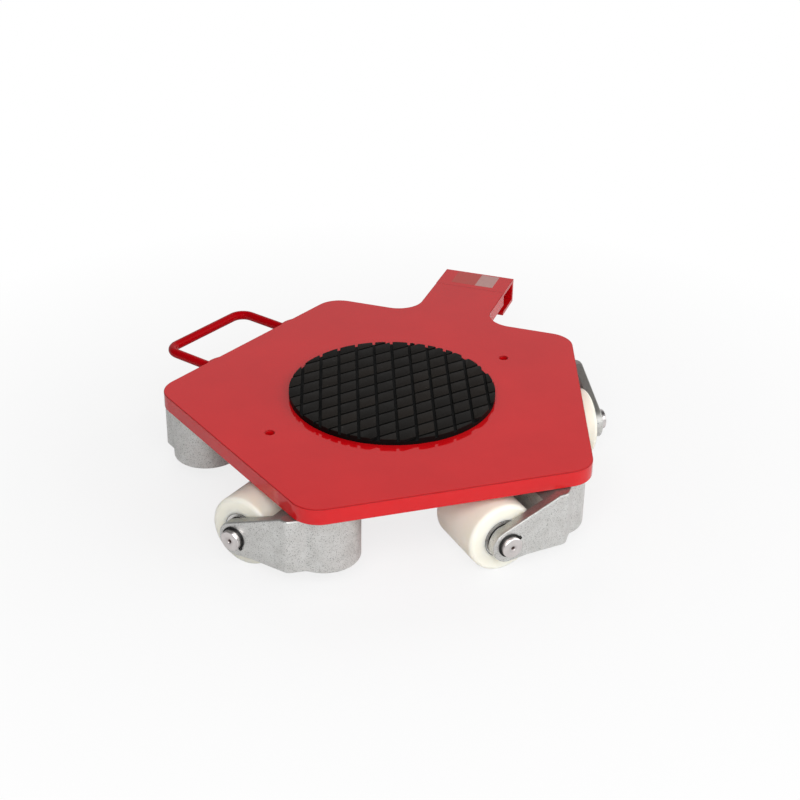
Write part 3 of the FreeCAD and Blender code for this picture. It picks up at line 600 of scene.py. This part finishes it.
# Pieces
def new_piece(name, mesh, material, body, replaced=()):
    """A piece of the object from a finished bmesh, riding on a body."""
    data = bpy.data.meshes.new(name)
    mesh.to_mesh(data)
    mesh.free()
    data.materials.append(material)
    data.shade_smooth()
    data.set_sharp_from_angle(angle=SHARP_ANGLE)
    piece = bpy.data.objects.new(name, data)
    bpy.context.scene.collection.objects.link(piece)
    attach(piece, body)
    if replaced:
        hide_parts(*replaced)
    return piece


def clip_polygon(polygon, normal, limit):
    """The part of a convex polygon that reaches no further than the limit along the normal."""
    kept = []
    for start, end in zip(polygon, polygon[1:] + polygon[:1]):
        over_start = start.dot(normal) - limit
        over_end = end.dot(normal) - limit
        if over_start <= 0:
            kept.append(start)
        if over_start * over_end < 0:
            kept.append(start.lerp(end, over_start / (over_start - over_end)))
    return kept


def polygon_area(polygon):
    pairs = zip(polygon, polygon[1:] + polygon[:1])
    return sum(first.x * second.y - first.y * second.x for first, second in pairs) / 2


def rim_angles():
    return [2 * math.pi * step / PAD_STEPS for step in range(PAD_STEPS)]


def tread_blocks():
    """Plan outlines of the tread's rhombic blocks, cut off round the rim of the pad."""
    normals = [Vector((-math.sin(angle), math.cos(angle))) for angle, _ in TREAD_SETS]
    lattice = Matrix(normals).inverted()
    rim = [Vector((math.cos(a), math.sin(a))) for a in rim_angles()]
    flat = PAD_RADIUS * math.cos(math.pi / PAD_STEPS)
    reach = math.ceil(2 * PAD_RADIUS / TREAD_PITCH)
    span = (TREAD_PITCH - TREAD_WIDTH) / 2
    signs = ((-1, -1), (1, -1), (1, 1), (-1, 1))
    shifts = [shift for _, shift in TREAD_SETS]
    for row in range(-reach, reach):
        for column in range(-reach, reach):
            middle = [(step + 0.5) * TREAD_PITCH - shift for step, shift in zip((row, column), shifts)]
            block = [lattice @ Vector((middle[0] + a * span, middle[1] + b * span)) for a, b in signs]
            if polygon_area(block) < 0:
                block.reverse()
            if max(corner.length for corner in block) > flat:
                for normal in rim:
                    block = clip_polygon(block, normal, flat) if block else block
            if len(block) > 2 and polygon_area(block) > SMALLEST_BLOCK:
                yield block


def add_prism(mesh, outline, low, high):
    """A closed upright prism. Its faces come back with the top first and the foot second."""
    foot = [mesh.verts.new((corner.x, corner.y, low)) for corner in outline]
    head = [mesh.verts.new((corner.x, corner.y, high)) for corner in outline]
    faces = [mesh.faces.new(head), mesh.faces.new(foot[::-1])]
    for index in range(len(outline)):
        following = (index + 1) % len(outline)
        faces.append(mesh.faces.new((foot[index], foot[following], head[following], head[index])))
    return faces


def make_load_pad(material):
    """A rubber disc with a tread of separate bevelled blocks."""
    shades = random.Random(8)
    mesh = bmesh.new()
    tone = mesh.verts.layers.float.new("block_tone")
    groove_floor = PAD_TOP - TREAD_DEPTH
    rim = [Vector((math.cos(a), math.sin(a))) * PAD_RADIUS for a in rim_angles()]
    base = add_prism(mesh, rim, DECK_TOP, groove_floor)
    bmesh.ops.bevel(mesh, geom=list(base[1].edges), offset=PAD_FOOT, segments=2, profile=0.5, affect="EDGES")
    for outline in tread_blocks():
        faces = add_prism(mesh, outline, groove_floor - BLOCK_ROOT, PAD_TOP)
        shade = shades.random()
        for face in faces:
            for vertex in face.verts:
                vertex[tone] = shade
        edges = list(faces[0].edges)
        bmesh.ops.bevel(mesh, geom=edges, offset=TREAD_EDGE, segments=2, profile=0.5, affect="EDGES")
    return new_piece("tread_pad", mesh, material, "deck", ["load_pad"])


def rippled_bead(mesh, stations, closed):
    """A fillet weld along stations, each a root point and the two directions of its legs."""
    rings = []
    for index, (root, first, second) in enumerate(stations):
        phase = (index % RIPPLE_STEPS) / RIPPLE_STEPS
        swell = 1 + RIPPLE_RISE * math.sqrt(1 - phase)
        leg = WELD_LEG * (swell - RIPPLE_RISE)
        crown = WELD_LEG * BEAD_CROWN * swell
        back = root - (first + second) * WELD_SINK
        corners = [
            back,
            root + first * leg - second * WELD_SINK,
            root + first * leg * BEAD_SHOULDER + second * crown * BEAD_SHOULDER_RISE,
            root + (first + second) * crown * BEAD_MIDDLE,
            root + second * leg * BEAD_SHOULDER + first * crown * BEAD_SHOULDER_RISE,
            root + second * leg - first * WELD_SINK,
        ]
        rings.append([mesh.verts.new(corner) for corner in corners])
    count = len(rings[0])
    pairs = list(zip(rings, rings[1:]))
    if closed:
        pairs.append((rings[-1], rings[0]))
    else:
        mesh.faces.new(rings[0][::-1])
        mesh.faces.new(rings[-1])
    for ring, following in pairs:
        for index in range(count):
            after = (index + 1) % count
            mesh.faces.new((ring[index], ring[after], following[after], following[index]))


def add_run_out(mesh, foot, outward, direction):
    """A flat-topped run of weld along the deck's edge, level with the deck and thinning to its ends."""
    top = DECK_TOP - RUN_OUT_DROP
    rings = []
    for place, width in RUN_OUT:
        base = foot + direction * place * MM
        ring = []
        for share, depth in RUN_OUT_SECTION:
            corner = base + outward * share * width * MM
            ring.append(mesh.verts.new((corner.x, corner.y, top - depth * RUN_OUT_DEPTH)))
        rings.append(ring)
    mesh.faces.new(rings[0])
    mesh.faces.new(rings[-1])
    for ring, following in zip(rings, rings[1:]):
        for index in range(len(RUN_OUT_SECTION)):
            after = (index + 1) % len(RUN_OUT_SECTION)
            mesh.faces.new((ring[index], ring[after], following[after], following[index]))


def make_handle_welds(material):
    """A bead round each foot of the handle, against the edge of the deck."""
    mesh = bmesh.new()
    outward = Vector((math.cos(HANDLE_DIRECTION), math.sin(HANDLE_DIRECTION), 0))
    along = Vector((-outward.y, outward.x, 0))
    ripples = round(2 * math.pi * (HANDLE_RADIUS + WELD_LEG / 2) / RIPPLE_LENGTH)
    steps = ripples * RIPPLE_STEPS
    for side in (-1, 1):
        foot = outward * DECK_APOTHEM + along * side * HANDLE_SPAN / 2
        middle = foot + UP * HANDLE_LEVEL
        stations = []
        for step in range(steps):
            angle = 2 * math.pi * step / steps
            radial = along * math.cos(angle) + UP * math.sin(angle)
            stations.append((middle + radial * HANDLE_RADIUS, radial, outward))
        rippled_bead(mesh, stations, closed=True)
        add_run_out(mesh, foot, outward, -along)
    bmesh.ops.recalc_face_normals(mesh, faces=mesh.faces)
    return new_piece("handle_weld_beads", mesh, material, "deck", ["handle_welds"])


def make_coupling_weld(material):
    """A straight bead inside the channel, where it meets the end of the tongue."""
    low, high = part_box("coupling_weld")
    mesh = bmesh.new()
    steps = round((high.x - low.x) / RIPPLE_LENGTH) * RIPPLE_STEPS
    stations = []
    for step in range(steps + 1):
        across = low.x + (high.x - low.x) * step / steps
        stations.append((Vector((across, low.y, high.z)), Vector((0, 1, 0)), -UP))
    rippled_bead(mesh, stations, closed=False)
    bmesh.ops.recalc_face_normals(mesh, faces=mesh.faces)
    return new_piece("coupling_weld_bead", mesh, material, "deck", ["coupling_weld"])


def dress(nodes, material):
    """Gives CAD nodes a finish by their material slots."""
    for node in nodes:
        for slot in frame["nodes"][node].material_slots:
            slot.material = material


def dress_nodes():
    """Finishes every piece, and returns the red ones."""
    paint = deck_paint()
    plated = plated_steel()
    dress(["deck_plate"], paint)
    dress(["handle"], handle_paint())
    dress(["coupling_channel"], red_paint_with_film())
    dress(["pin_washers", "pin_nuts", "thrust_top_races"], plated)
    zinc = cast_zinc()
    black = black_oxide()
    bronze = bush_bronze()
    for castor in CASTORS:
        dress([f"fork_{castor}"], zinc)
        dress([f"axle_circlips_{castor}"], black)
        dress([f"swivel_bush_{castor}"], bronze)
        dress([f"swivel_pin_{castor}", f"thrust_bearing_{castor}"], plated)
        dress([f"roller_{castor}"], roller_plastic(castor))
        dress([f"axle_{castor}", f"axle_spacers_{castor}"], turned_steel(castor))
        dress([f"bearing_outers_{castor}", f"bearing_inners_{castor}"], bearing_steel(castor))
    make_load_pad(pad_rubber())
    beads = [make_handle_welds(paint), make_coupling_weld(paint)]
    return beads + [frame["nodes"][node] for node in ("deck_plate", "handle", "coupling_channel")]


# Stage, light and camera
def make_floor():
    """White paper that the camera sees as plain white, with the object's shadow kept."""
    material, tree, shader = new_material("studio_floor", Roughness=0.9, Specular_IOR_Level=0.1)
    place = own_coordinates(tree)
    grain = noise(tree, place, 3.0)
    paper = blend_colours(tree, grain, *PAPER_TONES)
    feed(tree, shader, Base_Color=paper)
    path = add_node(tree, "ShaderNodeLightPath").outputs
    reach = add_node(tree, "ShaderNodeVectorMath", {0: place}, operation="LENGTH").outputs["Value"]
    white_share = remap(tree, reach, *SHADOW_REACH, FLOOR_WHITE, 1.0)
    seen = calculate(tree, "MULTIPLY", path["Is Camera Ray"], white_share)
    mirrored = calculate(tree, "MAXIMUM", path["Is Glossy Ray"], path["Is Transmission Ray"])
    seen = calculate(tree, "MAXIMUM", seen, calculate(tree, "MULTIPLY", mirrored, FLOOR_MIRRORED))
    white = add_node(tree, "ShaderNodeEmission", {"Strength": 1.0}).outputs[0]
    mixed = add_node(tree, "ShaderNodeMixShader", {0: seen, 1: shader.outputs[0], 2: white})
    output = next(node for node in tree.nodes if node.type == "OUTPUT_MATERIAL")
    tree.links.new(mixed.outputs[0], output.inputs["Surface"])
    mesh = bmesh.new()
    bmesh.ops.create_circle(mesh, cap_ends=True, segments=FLOOR_STEPS, radius=FLOOR_RADIUS)
    data = bpy.data.meshes.new("studio_floor")
    mesh.to_mesh(data)
    mesh.free()
    data.materials.append(material)
    floor = bpy.data.objects.new("studio_floor", data)
    floor.location.z = FLOOR_LEVEL
    bpy.context.scene.collection.objects.link(floor)
    floor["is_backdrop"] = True


def make_world():
    """A studio sky, pale at the back and dimmer in front and overhead. The camera sees it as white."""
    world = bpy.data.worlds.new("studio_sky")
    bpy.context.scene.world = world
    world.use_nodes = True
    tree = world.node_tree
    tree.nodes.clear()
    direction = add_node(tree, "ShaderNodeTexCoord").outputs["Generated"]
    height = add_node(tree, "ShaderNodeSeparateXYZ", {"Vector": direction}).outputs["Z"]
    bright_side = (math.cos(SKY_BRIGHT_SIDE), math.sin(SKY_BRIGHT_SIDE), 0)
    side = add_node(tree, "ShaderNodeVectorMath", {0: direction, 1: bright_side}, operation="DOT_PRODUCT")
    around = remap(tree, side.outputs["Value"], *SKY_TURN, *SKY_STRENGTH)
    overhead = remap(tree, height, *SKY_FADE_HEIGHT, 1.0, SKY_OVERHEAD)
    strength = calculate(tree, "MULTIPLY", around, overhead)
    seen = add_node(tree, "ShaderNodeLightPath").outputs["Is Camera Ray"]
    strength = calculate(tree, "MAXIMUM", strength, seen)
    sky = add_node(tree, "ShaderNodeBackground", {"Color": (1, 1, 1, 1), "Strength": strength})
    add_node(tree, "ShaderNodeOutputWorld", {"Surface": sky.outputs[0]})


def softbox(name, place, size, power):
    """A soft rectangular lamp that faces the origin."""
    lamp = bpy.data.lights.new(name, "AREA")
    lamp.shape = "RECTANGLE"
    lamp.size, lamp.size_y = size
    lamp.energy = power
    box = bpy.data.objects.new(name, lamp)
    box.location = place
    box.rotation_euler = (-Vector(place)).to_track_quat("-Z", "Y").to_euler()
    box.visible_camera = False
    bpy.context.scene.collection.objects.link(box)
    return box


def aim_at(box, pieces, choice):
    """Has a lamp light these pieces alone, or leave them out."""
    receivers = bpy.data.collections.new(f"{box.name}_receivers")
    for piece in pieces:
        receivers.objects.link(piece)
    for member in receivers.collection_objects:
        member.light_linking.link_state = choice
    box.light_linking.receiver_collection = receivers


def make_lamps(painted):
    """Two softboxes, which the gloss paint mirrors only faintly, and a weak lamp behind."""
    for name, (place, size, power) in SOFTBOXES.items():
        aim_at(softbox(name, place, size, power), painted, "EXCLUDE")
        behind = Vector(place) * SHEEN_SETBACK
        aim_at(softbox(f"{name}_sheen", behind, size, power * PAINT_SHEEN), painted, "INCLUDE")
        flagged = softbox(f"{name}_on_paint", place, size, power * (1 - PAINT_SHEEN))
        flagged.visible_glossy = False
        aim_at(flagged, painted, "INCLUDE")
    back = softbox("back_softbox", *BACK_SOFTBOX)
    back.visible_glossy = False


def make_camera():
    """The photograph's camera, with its slight roll."""
    level = math.cos(CAMERA_ELEVATION)
    back = Vector((
        math.sin(CAMERA_AZIMUTH) * level,
        -math.cos(CAMERA_AZIMUTH) * level,
        math.sin(CAMERA_ELEVATION),
    ))
    side = Vector((math.cos(CAMERA_AZIMUTH), math.sin(CAMERA_AZIMUTH), 0))
    top = back.cross(side)
    rolled_side = side * math.cos(CAMERA_ROLL) + top * math.sin(CAMERA_ROLL)
    rolled_top = top * math.cos(CAMERA_ROLL) - side * math.sin(CAMERA_ROLL)
    data = bpy.data.cameras.new("photo_camera")
    data.lens = CAMERA_LENS
    data.sensor_width = CAMERA_SENSOR
    camera = bpy.data.objects.new("photo_camera", data)
    turn = Matrix((rolled_side, rolled_top, back)).transposed().to_4x4()
    camera.matrix_world = Matrix.Translation(CAMERA_TARGET + back * CAMERA_DISTANCE) @ turn
    bpy.context.scene.collection.objects.link(camera)
    bpy.context.scene.camera = camera


red_pieces = dress_nodes()
make_floor()
make_world()
make_lamps(red_pieces)
make_camera()
bpy.context.scene.view_settings.view_transform = "Standard"

boxes = {"cad": cad_bounds, "visual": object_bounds()}
{name: [list(corner) for corner in box] for name, box in boxes.items()}
